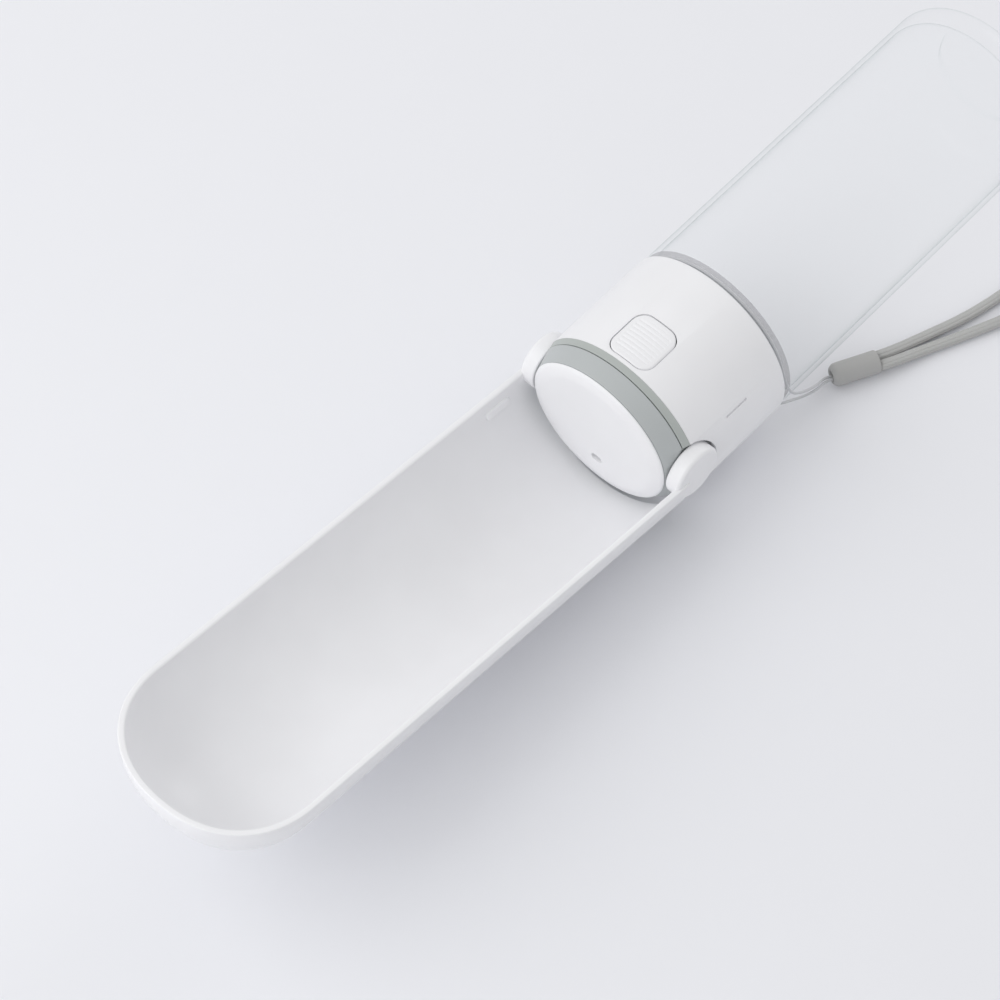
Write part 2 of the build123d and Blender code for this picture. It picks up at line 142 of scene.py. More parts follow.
cord_route = [
    by_crimp(CRIMP_FRONT, 0, -0.1),
    by_crimp(CRIMP_FRONT, -2.4, 0.2),
    beside_bottle(19.3, 132.0, 6.7),
    beside_bottle(11.9, 120.5, 3.9),
    beside_bottle(5.9, 110.5, 2.3),
    beside_bottle(1.0, 102.2, 1.1),
    *round_neck,
    beside_bottle(-0.4, 136.4, 0.3),
    beside_bottle(0.7, 121.1, 0.7),
    beside_bottle(5.4, 125.1, 2.8),
    beside_bottle(11.4, 126.9, 5.5),
    beside_bottle(18.4, 131.9, 7.8),
    by_crimp(CRIMP_FRONT, -2.4, -1.2),
    by_crimp(CRIMP_FRONT, 0, -1.2),
]
strap_route = [
    by_crimp(CRIMP_BACK, 0, STRAP_END_GAP),
    by_crimp(CRIMP_BACK, STRAP_LEAD, STRAP_END_GAP),
    (103.5, -40.9, STRAP_Z),
    (121.2, -47.4, STRAP_Z),
    (142.0, -51.4, STRAP_Z),
    (166.0, -52.8, STRAP_Z),
    (185.0, -57.5, STRAP_Z),
    (193.0, -69.0, STRAP_Z),
    (188.0, -81.0, STRAP_Z),
    (173.0, -84.0, STRAP_Z),
    (156.0, -73.0, STRAP_Z),
    (138.0, -61.0, STRAP_Z),
    (118.0, -52.9, STRAP_Z),
    (101.0, -44.9, STRAP_Z),
    by_crimp(CRIMP_BACK, STRAP_LEAD, -STRAP_END_GAP),
    by_crimp(CRIMP_BACK, 0, -STRAP_END_GAP),
]


def cord_curve(name, route, diameter):
    """A smooth curve along a route in mm, as thick as its diameter."""
    curve = bpy.data.curves.new(name, "CURVE")
    curve.dimensions = "3D"
    line = curve.splines.new("NURBS")
    line.points.add(len(route) - 1)
    for point, place in zip(line.points, route):
        point.co = (*at(*place), 1)
    line.order_u = 3
    line.use_endpoint_u = True
    line.resolution_u = 12
    curve.bevel_depth = diameter / 2000
    curve.bevel_resolution = 6
    curve.use_fill_caps = True
    obj = bpy.data.objects.new(name, curve)
    bpy.context.scene.collection.objects.link(obj)
    return obj


def line_along(name, route):
    """The points, in metres, of the bare curve along a route."""
    guide = cord_curve(name, route, 0)
    graph = bpy.context.evaluated_depsgraph_get()
    mesh = bpy.data.meshes.new_from_object(guide.evaluated_get(graph))
    line = [v.co.copy() for v in mesh.vertices]
    bpy.data.objects.remove(guide)
    return line


def ring_faces(rows, count, closed_rows=True):
    """Faces between rings of points, and from the last ring to the first if they close."""
    faces = []
    for j in range(rows if closed_rows else rows - 1):
        here, there = j * count, (j + 1) % rows * count
        for i in range(count):
            k = (i + 1) % count
            faces.append((here + i, here + k, there + k, there + i))
    return faces


def tube_faces(rows, count):
    """Faces between rings of points, with the first and the last ring filled."""
    ends = [tuple(range(count)), tuple(range((rows - 1) * count, rows * count))]
    return ends + ring_faces(rows, count, closed_rows=False)


def swept(name, line, section, look):
    """A mesh tube along a line, with a section of sideways and upward offsets in mm."""
    count = len(section)
    verts, along_uv = [], []
    run = 0.0
    for i, here in enumerate(line):
        before, after = line[max(i - 1, 0)], line[min(i + 1, len(line) - 1)]
        ahead = (after - before).normalized()
        side = Vector((0, 0, 1)).cross(ahead).normalized()
        up = ahead.cross(side)
        run += (here - before).length
        for a, b in section:
            verts.append(here + side * a / 1000 + up * b / 1000)
            along_uv.append(run)
    mesh = bpy.data.meshes.new(name)
    mesh.from_pydata(verts, [], tube_faces(len(line), count))
    uv = mesh.uv_layers.new(name="weave")
    for loop in mesh.loops:
        j = loop.vertex_index % count
        uv.data[loop.index].uv = (along_uv[loop.vertex_index] * 1000, j / count)
    work = bmesh.new()
    work.from_mesh(mesh)
    bmesh.ops.recalc_face_normals(work, faces=work.faces)
    work.to_mesh(mesh)
    work.free()
    mesh.materials.append(look)
    mesh.shade_smooth()
    obj = bpy.data.objects.new(name, mesh)
    bpy.context.scene.collection.objects.link(obj)
    return obj


# Materials. Lengths in them are in metres.
def material(name):
    """A new material with its nodes and its main shader."""
    made = bpy.data.materials.new(name)
    made.use_nodes = True
    return made, made.node_tree, made.node_tree.nodes["Principled BSDF"]


def plastic(name, color, roughness, grain=1400, depth=0.000004, mottle=0.03, spec=0.5):
    """Moulded plastic with a fine skin grain and slight changes of tone and gloss."""
    made, tree, shader = material(name)
    place = tree.nodes.new("ShaderNodeTexCoord")
    fine = tree.nodes.new("ShaderNodeTexNoise")
    fine.inputs["Scale"].default_value = grain
    fine.inputs["Detail"].default_value = 3
    broad = tree.nodes.new("ShaderNodeTexNoise")
    broad.inputs["Scale"].default_value = 45
    broad.inputs["Detail"].default_value = 2
    bump = tree.nodes.new("ShaderNodeBump")
    bump.inputs["Strength"].default_value = 0.5
    bump.inputs["Distance"].default_value = depth
    gloss = tree.nodes.new("ShaderNodeMapRange")
    gloss.inputs["To Min"].default_value = roughness - 0.05
    gloss.inputs["To Max"].default_value = roughness + 0.05
    tone = tree.nodes.new("ShaderNodeMix")
    tone.data_type = "RGBA"
    tone.inputs["A"].default_value = (*[c * (1 - mottle) for c in color], 1)
    tone.inputs["B"].default_value = (*[min(1, c * (1 + mottle)) for c in color], 1)
    link = tree.links.new
    link(place.outputs["Object"], fine.inputs["Vector"])
    link(place.outputs["Object"], broad.inputs["Vector"])
    link(fine.outputs["Fac"], bump.inputs["Height"])
    link(bump.outputs["Normal"], shader.inputs["Normal"])
    link(broad.outputs["Fac"], gloss.inputs["Value"])
    link(gloss.outputs["Result"], shader.inputs["Roughness"])
    link(broad.outputs["Fac"], tone.inputs["Factor"])
    link(tone.outputs["Result"], shader.inputs["Base Color"])
    shader.inputs["Specular IOR Level"].default_value = spec
    return made


def clear_plastic():
    """Thin clear plastic: see-through, darker and glossier where it is seen edge on.

    The neck and the shoulder's front are tinted grey: painted shade of the groove behind the head.
    It lets light through to what lies under it, so that it casts no shadow of its own.
    """
    made, tree, shader = material("clear plastic")
    new, link = tree.nodes.new, tree.links.new
    shader.inputs["Base Color"].default_value = (0.9, 0.9, 0.9, 1)
    shader.inputs["Metallic"].default_value = 1
    place = new("ShaderNodeTexCoord")
    waves = new("ShaderNodeTexNoise")
    waves.inputs["Scale"].default_value = 30
    bump = new("ShaderNodeBump")
    bump.inputs["Strength"].default_value = 0.3
    bump.inputs["Distance"].default_value = 0.00002
    gloss = new("ShaderNodeMapRange")
    gloss.inputs["To Min"].default_value = 0.06
    gloss.inputs["To Max"].default_value = 0.14
    link(place.outputs["Object"], waves.inputs["Vector"])
    link(waves.outputs["Fac"], bump.inputs["Height"])
    link(waves.outputs["Fac"], gloss.inputs["Value"])
    link(bump.outputs["Normal"], shader.inputs["Normal"])
    link(gloss.outputs["Result"], shader.inputs["Roughness"])
    facing = new("ShaderNodeLayerWeight")
    facing.inputs["Blend"].default_value = 0.5
    edge_on = new("ShaderNodeMath")
    edge_on.operation = "POWER"
    edge_on.inputs[1].default_value = 9
    tint = new("ShaderNodeMix")
    tint.data_type = "RGBA"
    tint.inputs["A"].default_value = (0.998, 1.0, 1.0, 1)
    tint.inputs["B"].default_value = (0.765, 0.80, 0.795, 1)
    through = new("ShaderNodeBsdfTransparent")
    grazing = new("ShaderNodeMath")
    grazing.operation = "POWER"
    grazing.inputs[1].default_value = 5
    sheen = new("ShaderNodeMapRange")
    sheen.inputs["To Min"].default_value = 0.006
    sheen.inputs["To Max"].default_value = 0.3
    side = new("ShaderNodeNewGeometry")
    outer_only = new("ShaderNodeMix")
    outer_only.inputs["B"].default_value = 0
    surface = new("ShaderNodeMixShader")
    # Painted shade: the neck and the shoulder's front are tinted grey for the shadowed groove between the
    # head and the shoulder.
    spread = new("ShaderNodeSeparateXYZ")
    groove_shade_mask = new("ShaderNodeMath")
    groove_shade_mask.operation = "LESS_THAN"
    groove_shade_mask.inputs[1].default_value = at(GROOVE_SHADE_END_X, 0, 0)[0]
    groove_shade = new("ShaderNodeMix")
    groove_shade.data_type = "RGBA"
    groove_shade.inputs["B"].default_value = (0.69, 0.685, 0.69, 1)
    link(place.outputs["Object"], spread.inputs["Vector"])
    link(spread.outputs["X"], groove_shade_mask.inputs[0])
    link(groove_shade_mask.outputs["Value"], groove_shade.inputs["Factor"])
    link(facing.outputs["Facing"], edge_on.inputs[0])
    link(edge_on.outputs["Value"], tint.inputs["Factor"])
    link(tint.outputs["Result"], groove_shade.inputs["A"])
    link(groove_shade.outputs["Result"], through.inputs["Color"])
    link(facing.outputs["Facing"], grazing.inputs[0])
    link(grazing.outputs["Value"], sheen.inputs["Value"])
    link(side.outputs["Backfacing"], outer_only.inputs["Factor"])
    link(sheen.outputs["Result"], outer_only.inputs["A"])
    link(outer_only.outputs["Result"], surface.inputs["Fac"])
    link(through.outputs["BSDF"], surface.inputs[1])
    link(shader.outputs["BSDF"], surface.inputs[2])
    path = new("ShaderNodeLightPath")
    either = new("ShaderNodeMath")
    either.operation = "MAXIMUM"
    light = new("ShaderNodeMixShader")
    link(path.outputs["Is Shadow Ray"], either.inputs[0])
    link(path.outputs["Is Diffuse Ray"], either.inputs[1])
    link(either.outputs["Value"], light.inputs["Fac"])
    link(surface.outputs["Shader"], light.inputs[1])
    link(through.outputs["BSDF"], light.inputs[2])
    link(light.outputs["Shader"], tree.nodes["Material Output"].inputs["Surface"])
    return made


def woven(name, color, lines, pitch, roughness=0.8):
    """Woven cloth drawn in the strap's own UV: u runs along it in mm, v once round it."""
    made, tree, shader = material(name)
    uv = tree.nodes.new("ShaderNodeUVMap")
    uv.uv_map = "weave"
    scale = tree.nodes.new("ShaderNodeMapping")
    scale.inputs["Scale"].default_value = (1 / pitch, lines, 1)
    check = tree.nodes.new("ShaderNodeTexChecker")
    check.inputs["Scale"].default_value = 1
    fuzz = tree.nodes.new("ShaderNodeTexNoise")
    fuzz.inputs["Scale"].default_value = 6
    fuzz.inputs["Detail"].default_value = 6
    height = tree.nodes.new("ShaderNodeMath")
    height.operation = "ADD"
    bump = tree.nodes.new("ShaderNodeBump")
    bump.inputs["Strength"].default_value = 0.6
    bump.inputs["Distance"].default_value = 0.00012
    tone = tree.nodes.new("ShaderNodeMix")
    tone.data_type = "RGBA"
    tone.inputs["A"].default_value = (*[c * 0.86 for c in color], 1)
    tone.inputs["B"].default_value = (*[c * 1.12 for c in color], 1)
    link = tree.links.new
    link(uv.outputs["UV"], scale.inputs["Vector"])
    link(scale.outputs["Vector"], check.inputs["Vector"])
    link(scale.outputs["Vector"], fuzz.inputs["Vector"])
    link(check.outputs["Fac"], height.inputs[0])
    link(fuzz.outputs["Fac"], height.inputs[1])
    link(height.outputs["Value"], bump.inputs["Height"])
    link(bump.outputs["Normal"], shader.inputs["Normal"])
    link(fuzz.outputs["Fac"], tone.inputs["Factor"])
    link(tone.outputs["Result"], shader.inputs["Base Color"])
    shader.inputs["Roughness"].default_value = roughness
    shader.inputs["Sheen Weight"].default_value = 0.25
    return made


def drawn_steel():
    """Bright steel with fine marks from drawing the wire and rod."""
    made, tree, shader = material("steel")
    place = tree.nodes.new("ShaderNodeTexCoord")
    marks = tree.nodes.new("ShaderNodeTexNoise")
    marks.inputs["Scale"].default_value = 900
    marks.inputs["Detail"].default_value = 4
    gloss = tree.nodes.new("ShaderNodeMapRange")
    gloss.inputs["To Min"].default_value = 0.22
    gloss.inputs["To Max"].default_value = 0.38
    bump = tree.nodes.new("ShaderNodeBump")
    bump.inputs["Strength"].default_value = 0.3
    bump.inputs["Distance"].default_value = 0.000003
    shader.inputs["Base Color"].default_value = (0.70, 0.71, 0.72, 1)
    shader.inputs["Metallic"].default_value = 1.0
    link = tree.links.new
    link(place.outputs["Object"], marks.inputs["Vector"])
    link(marks.outputs["Fac"], gloss.inputs["Value"])
    link(gloss.outputs["Result"], shader.inputs["Roughness"])
    link(marks.outputs["Fac"], bump.inputs["Height"])
    link(bump.outputs["Normal"], shader.inputs["Normal"])
    return made


white = plastic("white plastic", (0.857, 0.858, 0.878), 0.4)
sage = plastic("sage plastic", (0.44, 0.47, 0.455), 0.42, mottle=0.02)
dark_sage = plastic("dark sage plastic", (0.475, 0.50, 0.505), 0.42, mottle=0.02)
clear = clear_plastic()
inner = plastic("inner plastic", (0.72, 0.73, 0.745), 0.5)
rubber = plastic("silicone", (0.70, 0.71, 0.71), 0.65, grain=2500)
steel = drawn_steel()
cord_white = plastic("thin cord", (0.55, 0.56, 0.58), 0.6, grain=5000, depth=0.00002)
strap_grey = woven("strap cloth", (0.485, 0.487, 0.48), 28, 0.55)
sleeve = plastic("sleeve", (0.415, 0.415, 0.41), 0.55, grain=2200, depth=0.00001)
# Near black, for the sleeve's mouth: painted shade of its dark inside.
hollow = plastic("sleeve mouth painted shade", (0.03, 0.03, 0.032), 0.8)


SHARP_ANGLE = 35


def mesh_piece(name, verts, faces, look, sharp=SHARP_ANGLE):
    """An object of one finish, with doubles merged, faces outward and sharp edges kept."""
    mesh = bpy.data.meshes.new(name)
    mesh.from_pydata(verts, [], faces)
    work = bmesh.new()
    work.from_mesh(mesh)
    bmesh.ops.remove_doubles(work, verts=work.verts, dist=2e-6)
    bmesh.ops.delete(work, geom=[e for e in work.edges if not e.link_faces], context="EDGES")
    bmesh.ops.recalc_face_normals(work, faces=work.faces)
    work.to_mesh(mesh)
    work.free()
    mesh.materials.append(look)
    mesh.shade_smooth()
    mesh.set_sharp_from_angle(angle=radians(sharp))
    obj = bpy.data.objects.new(name, mesh)
    bpy.context.scene.collection.objects.link(obj)
    return obj


def arc(x, y, radius, start, end, steps=6):
    """Points of an arc about x, y between two angles in degrees."""
    return [
        (x + radius * cos(radians(start + (end - start) * i / steps)),
         y + radius * sin(radians(start + (end - start) * i / steps)))
        for i in range(steps + 1)
    ]


def turned(name, profile, look, centre_z=0.0, segments=192):
    """A solid turned about the bottle's axis from a closed profile of x and radius."""
    verts = []
    for x, r in profile:
        for i in range(segments):
            a = 2 * pi * i / segments
            verts.append(at(x, r * sin(a), centre_z + r * cos(a)))
    return mesh_piece(name, verts, ring_faces(len(profile), segments), look)


def nose_ring(name, profile, look, segments=256):
    """A ring of the sloped nose from a closed profile of x and inset from its surface."""
    verts = []
    for x, inset in profile:
        share = -x / NOSE_LENGTH
        r = HEAD_R + share * (NOSE_FRONT_R - HEAD_R) - inset
        for i in range(segments):
            a = 2 * pi * i / segments
            verts.append(at(x, r * sin(a), share * NOSE_RISE + r * cos(a)))
    return mesh_piece(name, verts, ring_faces(len(profile), segments), look)


def turned_y(name, profile, x, z, look, segments=96, place=at):
    """A solid turned about a line across the bottle from a closed profile of y and radius."""
    verts = []
    for y, r in profile:
        for i in range(segments):
            a = 2 * pi * i / segments
            verts.append(place(x + r * cos(a), y, z + r * sin(a)))
    return mesh_piece(name, verts, ring_faces(len(profile), segments), look)


def rounded_square(length, width, corner, steps):
    """Points round a square with round corners, about the origin."""
    x, y = length / 2 - corner, width / 2 - corner
    points = []
    for sx, sy, start in ((1, 1, 0), (-1, 1, 90), (-1, -1, 180), (1, -1, 270)):
        points += arc(sx * x, sy * y, corner, start, start + 90, steps)
    return points


def oval(half_long, radius, steps):
    """Points round a slot's outline about the origin: two half circles, joined straight."""
    middle = half_long - radius
    return arc(middle, 0, radius, -90, 90, steps) + arc(-middle, 0, radius, 90, 270, steps)


def prism(name, outline, low_z, high_z):
    """A straight prism on an outline of x and y, to cut with."""
    verts = [at(x, y, z) for z in (low_z, high_z) for x, y in outline]
    return mesh_piece(name, verts, tube_faces(2, len(outline)), white)


def cut(obj, cutters, soften=0.0):
    """Take the cutters away from an object and bevel its sharp edges by a width in mm."""
    for tool in cutters:
        change = obj.modifiers.new("cut", "BOOLEAN")
        change.operation = "DIFFERENCE"
        change.solver = "EXACT"
        change.object = tool
    if soften:
        edge = obj.modifiers.new("soften", "BEVEL")
        edge.width = soften / 1000
        edge.segments = 2
        edge.limit_method = "ANGLE"
        edge.angle_limit = radians(40)
        edge.harden_normals = False
    settle(obj)
    for tool in cutters:
        bpy.data.objects.remove(tool)


def settle(obj):
    """Turn an object with modifiers into a plain mesh of its one finish."""
    graph = bpy.context.evaluated_depsgraph_get()
    mesh = bpy.data.meshes.new_from_object(obj.evaluated_get(graph))
    look = obj.data.materials[0]
    obj.modifiers.clear()
    obj.data = mesh
    mesh.materials.clear()
    mesh.materials.append(look)
    for face in mesh.polygons:
        face.material_index = 0
    mesh.shade_smooth()
    mesh.set_sharp_from_angle(angle=radians(SHARP_ANGLE))


def pockets():
    """The round pockets on both sides of the head that take the trough's ears."""
    made = []
    for side in (1, -1):
        floor_y, end_y = side * POCKET_FLOOR, side * BEYOND
        profile = [(floor_y, 0), (floor_y, POCKET_R), (end_y, POCKET_R), (end_y, 0)]
        made.append(turned_y("pocket", profile, HINGE_X, HINGE_Z, white))
    return made


def underside():
    """A slab below the table's level, which flattens what would dip under it."""
    back = 60
    outline = [(-BEYOND, -BEYOND), (back, -BEYOND), (back, BEYOND), (-BEYOND, BEYOND)]
    return prism("underside", outline, -BEYOND, TABLE_Z)


# Head shell.
BUTTON_X = 10.6
BUTTON_LENGTH = 17.4
BUTTON_WIDTH = 16.8
BUTTON_CORNER = 4.5
BUTTON_GAP = 0.35
HEAD_EDGE = 0.5
WINDOW_FLOOR = 10
SLIT_FRONT = 16.2
SLIT_BACK = 25.9
SLIT_HALF = 0.45
SLIT_FLOOR = 31.7
SLIT_TURN = 67.7


def slit(side):
    """A cutter for the narrow slit in one side of the head, turned down from the top."""
    outline = [
        (SLIT_FRONT, -SLIT_HALF), (SLIT_BACK, -SLIT_HALF), (SLIT_BACK, SLIT_HALF), (SLIT_FRONT, SLIT_HALF)
    ]
    tool = prism("slit", outline, SLIT_FLOOR, BEYOND)
    centre = Vector(at(0, 0, 0))
    spin = Matrix.Rotation(radians(SLIT_TURN) * side, 4, "X")
    tool.data.transform(Matrix.Translation(centre) @ spin @ Matrix.Translation(-centre))
    return tool


def window():
    """A cutter for the hole that the button moves in."""
    length, width = BUTTON_LENGTH + 2 * BUTTON_GAP, BUTTON_WIDTH + 2 * BUTTON_GAP
    outline = rounded_square(length, width, BUTTON_CORNER + BUTTON_GAP, 12)
    return prism("window", [(BUTTON_X + x, y) for x, y in outline], WINDOW_FLOOR, BEYOND)


head_profile = (
    arc(HEAD_EDGE, HEAD_R - HEAD_EDGE, HEAD_EDGE, 180, 90)
    + arc(HEAD_LENGTH - HEAD_EDGE, HEAD_R - HEAD_EDGE, HEAD_EDGE, 90, 0)
    + [(HEAD_LENGTH, HEAD_BORE), (0, HEAD_BORE)]
)
head_shell = turned("head_shell_seen", head_profile, white, segments=256)
cut(head_shell, [window(), *pockets(), underside(), slit(1), slit(-1)], soften=0.18)
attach(head_shell, "head")
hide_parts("head_shell")

# Nose rings, parted by a narrow gap.
RING_WALL = 2.2
REAR_RING_FRONT = -2.5
FRONT_RING_BACK = -2.8
RING_CHAMFER = 0.2
rear = nose_ring(
    "rear_ring_seen",
    [
        (0, 0), (REAR_RING_FRONT + RING_CHAMFER, 0), (REAR_RING_FRONT, RING_CHAMFER),
        (REAR_RING_FRONT, RING_WALL), (0, RING_WALL),
    ],
    sage,
)
cut(rear, [*pockets(), underside()])
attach(rear, "head")
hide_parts("rear_ring")
front = nose_ring(
    "front_ring_seen",
    [
        (FRONT_RING_BACK - RING_CHAMFER, 0), (0.4 - NOSE_LENGTH, 0), (0.1 - NOSE_LENGTH, 0.1),
        (-NOSE_LENGTH, 0.4), (-NOSE_LENGTH, RING_WALL), (FRONT_RING_BACK, RING_WALL),
        (FRONT_RING_BACK, RING_CHAMFER),
    ],
    dark_sage,
)
cut(front, [*pockets(), underside()])
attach(front, "head")
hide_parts("front_ring")

# Outlet cap, with its water outlet below the middle.
CAP_R = NOSE_FRONT_R
CAP_DROP = 0.15
OUTLET_HALF = 2.3
OUTLET_R = 1.7
OUTLET_Y = -0.3
OUTLET_Z = -9.4
cap_x = -NOSE_LENGTH - 0.05
cap_profile = [
    (cap_x + 2, 0), (cap_x + 2, 24), (cap_x, 24), (cap_x, CAP_R - 0.2), (cap_x - 0.2, CAP_R),
    (cap_x - 0.5, CAP_R - 0.12), (cap_x - 0.85, CAP_R - 0.55), (cap_x - 1.15, CAP_R - 1.2),
    (cap_x - 1.75, CAP_R - 3.4), (cap_x - 1.9, CAP_R - 4.2), (cap_x - 1.97, CAP_R - 5.1),
    (cap_x - 2.0, CAP_R - 6.5), (cap_x - 2.1, 12), (cap_x - 2.15, 0),
]
cap = turned("outlet_cap_seen", cap_profile, white, centre_z=NOSE_RISE - CAP_DROP)
outlet = oval(OUTLET_HALF, OUTLET_R, 12)
outlet_tool = mesh_piece(
    "outlet",
    [at(x, OUTLET_Y + y, OUTLET_Z + z) for x in (-16, -6) for y, z in outlet],
    tube_faces(2, len(outlet)),
    white,
)
cut(cap, [outlet_tool, *pockets()], soften=0.2)
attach(cap, "head")
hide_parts("outlet_cap")

# Trough. Its outline is a straight run from the heel, then a squashed round tip, and each
# level of its section is a smaller copy of the rim's outline.
TROUGH_HALF = 32.35
TROUGH_DEPTH = 31.0
TROUGH_WALL = 2.2
TROUGH_FLOOR = 1.6
TIP_START = 170.5
TIP_REACH = 30.2
HEEL = 4.5
ROUNDNESS = 2.2
FULLNESS = 2.2
SKIN_FULLNESS = 1.95
RIM_INNER_EDGE = 0.8
RIM_OUTER_EDGE = 0.45
TIP_SIDEWAYS = 0.5
RUN_STEPS = 40
TIP_STEPS = 48
SECTION_STEPS = 48


def trough_outline():
    """Steps round the rim: distance along, share of the tip's reach and share of the width."""
    run = TIP_START - HEEL
    steps = [(HEEL + run * i / RUN_STEPS, 0.0, 1.0) for i in range(RUN_STEPS)]
    for i in range(TIP_STEPS):
        t = radians(90 * i / TIP_STEPS)
        steps.append((TIP_START, sin(t) ** (2 / ROUNDNESS), cos(t) ** (2 / ROUNDNESS)))
    other_side = [(u, ahead, -side) for u, ahead, side in reversed(steps)]
    return [*steps, (TIP_START, 1.0, 0.0), *other_side]


def trough_level(outline, half, depth, reach, fullness, angle):
    """One level of the trough, at an angle down from the rim to the bottom."""
    c = cos(radians(angle)) if angle < 90 else 0.0
    s = sin(radians(angle))
    ahead = reach * max(0.0, 1 - s**fullness) ** (1 / fullness)
    return [(u + ahead * a, half * c * b - TIP_SIDEWAYS * a, -depth * s) for u, a, b in outline]


def rim_row(inner_edge, outer_edge, gap, w, from_outside):
    """A row of points across the rim's width, a gap in from one of its two edges."""
    row = []
    for (u0, y0, _), (u1, y1, _) in zip(inner_edge, outer_edge):
        wide = hypot(u1 - u0, y1 - y0)
        share = 1 - gap / wide if from_outside else gap / wide
        row.append((u0 + (u1 - u0) * share, y0 + (y1 - y0) * share, w))
    return row


def rim_corner(edge):
    """Steps over a rounded rim edge: distance in from the wall's face and height."""
    return [
        (edge - edge * cos(radians(a)), -edge + edge * sin(radians(a)))
        for a in (15, 30, 45, 60, 75, 90)
    ]


def trough_mesh():
    """The trough as rows of points: up its inside, over the rounded rim and down its skin."""
    outline = trough_outline()
    inside = (TROUGH_HALF, TROUGH_DEPTH, TIP_REACH, FULLNESS)
    outside = (
        TROUGH_HALF + TROUGH_WALL, TROUGH_DEPTH + TROUGH_FLOOR, TIP_REACH + TROUGH_WALL, SKIN_FULLNESS
    )
    below = [90 * (1 - i / SECTION_STEPS) for i in range(SECTION_STEPS - 2)]
    inner_angles = below + [degrees(asin(RIM_INNER_EDGE / inside[1]))]
    outer_angles = below + [degrees(asin(RIM_OUTER_EDGE / outside[1]))]
    rows = [trough_level(outline, *inside, a) for a in inner_angles]
    edges = (trough_level(outline, *inside, 0), trough_level(outline, *outside, 0))
    rows += [rim_row(*edges, gap, w, False) for gap, w in rim_corner(RIM_INNER_EDGE)]
    rows += [rim_row(*edges, gap, w, True) for gap, w in reversed(rim_corner(RIM_OUTER_EDGE))]
    rows += [trough_level(outline, *outside, a) for a in reversed(outer_angles)]
    count = len(outline)
    verts = [at_trough(*p) for row in rows for p in row]
    faces = []
    for j in range(len(rows) - 1):
        for i in range(count - 1):
            a = j * count + i
            faces.append((a, a + 1, a + count + 1, a + count))
    for end in (0, count - 1):
        for j in range(len(rows) // 2 - 1):
            k = len(rows) - 1 - j
            faces.append(tuple(row * count + end for row in (j, j + 1, k - 1, k)))
    return verts, faces


CATCH_U = 22.0
CATCH_W = -6.2
CATCH_HALF = 5.6
CATCH_R = 1.7
# How much lower a catch is at its side towards the rim, so that it clears the closed head.
CATCH_LEAN = 0.22
# Steps over a catch: distance in from its outline and rise from the wall.
CATCH_SECTION = (
    (0.0, -0.8), (0.0, 0.15), (0.1, 0.42), (0.3, 0.62), (0.6, 0.73), (1.1, 0.77), (1.66, 0.78)
)


def catch(side):
    """A low pill on the trough's inner wall, which lies beside the head's slit when closed."""
    ring = oval(CATCH_HALF, CATCH_R, 16)
    middle = CATCH_HALF - CATCH_R
    verts = []
    for inset, lift in CATCH_SECTION:
        share = 1 - inset / CATCH_R
        for a, b in ring:
            straight = max(-middle, min(middle, a))
            w = CATCH_W + b * share
            wall = TROUGH_HALF * sqrt(1 - (w / TROUGH_DEPTH) ** 2)
            lean = CATCH_LEAN * b * share / CATCH_R
            u = CATCH_U + straight + (a - straight) * share
            verts.append(at_trough(u, side * (wall - lift + lean), w))
    return mesh_piece("catch", verts, tube_faces(len(CATCH_SECTION), len(ring)), white, sharp=60)


EAR_INNER_FACE = 28.4
EAR_OUTER_FACE = 34.0
EAR_INNER_EDGE = 0.7
EAR_OUTER_EDGE = 1.4


def at_ear(x, y, z):
    return at_trough(-x, y, z)


def ear(side):
    """One of the two rounded discs that the trough turns on."""
    profile = [
        (EAR_INNER_FACE, 0),
        *arc(EAR_INNER_FACE + EAR_INNER_EDGE, EAR_R - EAR_INNER_EDGE, EAR_INNER_EDGE, 180, 90, 8),
        *arc(EAR_OUTER_FACE - EAR_OUTER_EDGE, EAR_R - EAR_OUTER_EDGE, EAR_OUTER_EDGE, 90, 0, 12),
        (EAR_OUTER_FACE, 0),
    ]
    return turned_y("ear", [(side * y, r) for y, r in profile], 0, 0, white, place=at_ear)


scoop = mesh_piece("trough_scoop", *trough_mesh(), white, sharp=50)
for part in (scoop, catch(1), catch(-1), ear(1), ear(-1)):
    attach(part, "trough")
    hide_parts("trough")

# Button.
BUTTON_FLOOR = 28
BUTTON_EDGE = 0.5
BUTTON_EDGE_DROP = 0.3
RIB_PITCH = 1.6
RIB_DEPTH = 0.2
RIB_BORDER = 1.5
RIB_FADE = 0.4


def within_square(x, y, length, width, corner):
    """How far a point lies inside the outline of a rounded square."""
    qx, qy = abs(x) - length / 2 + corner, abs(y) - width / 2 + corner
    return corner - hypot(max(qx, 0), max(qy, 0)) - min(max(qx, qy), 0)


def within_button(x, y):
    """How far a point, drawn from the button's middle, lies inside its outline."""
    return within_square(x, y, BUTTON_LENGTH, BUTTON_WIDTH, BUTTON_CORNER)


def button_height(x, y):
    """The head's own curve, with a rounded edge at the button's outline."""
    edge = BUTTON_EDGE_DROP * max(0.0, 1 - within_button(x, y) / BUTTON_EDGE) ** 2
    return sqrt(HEAD_R**2 - y**2) - edge


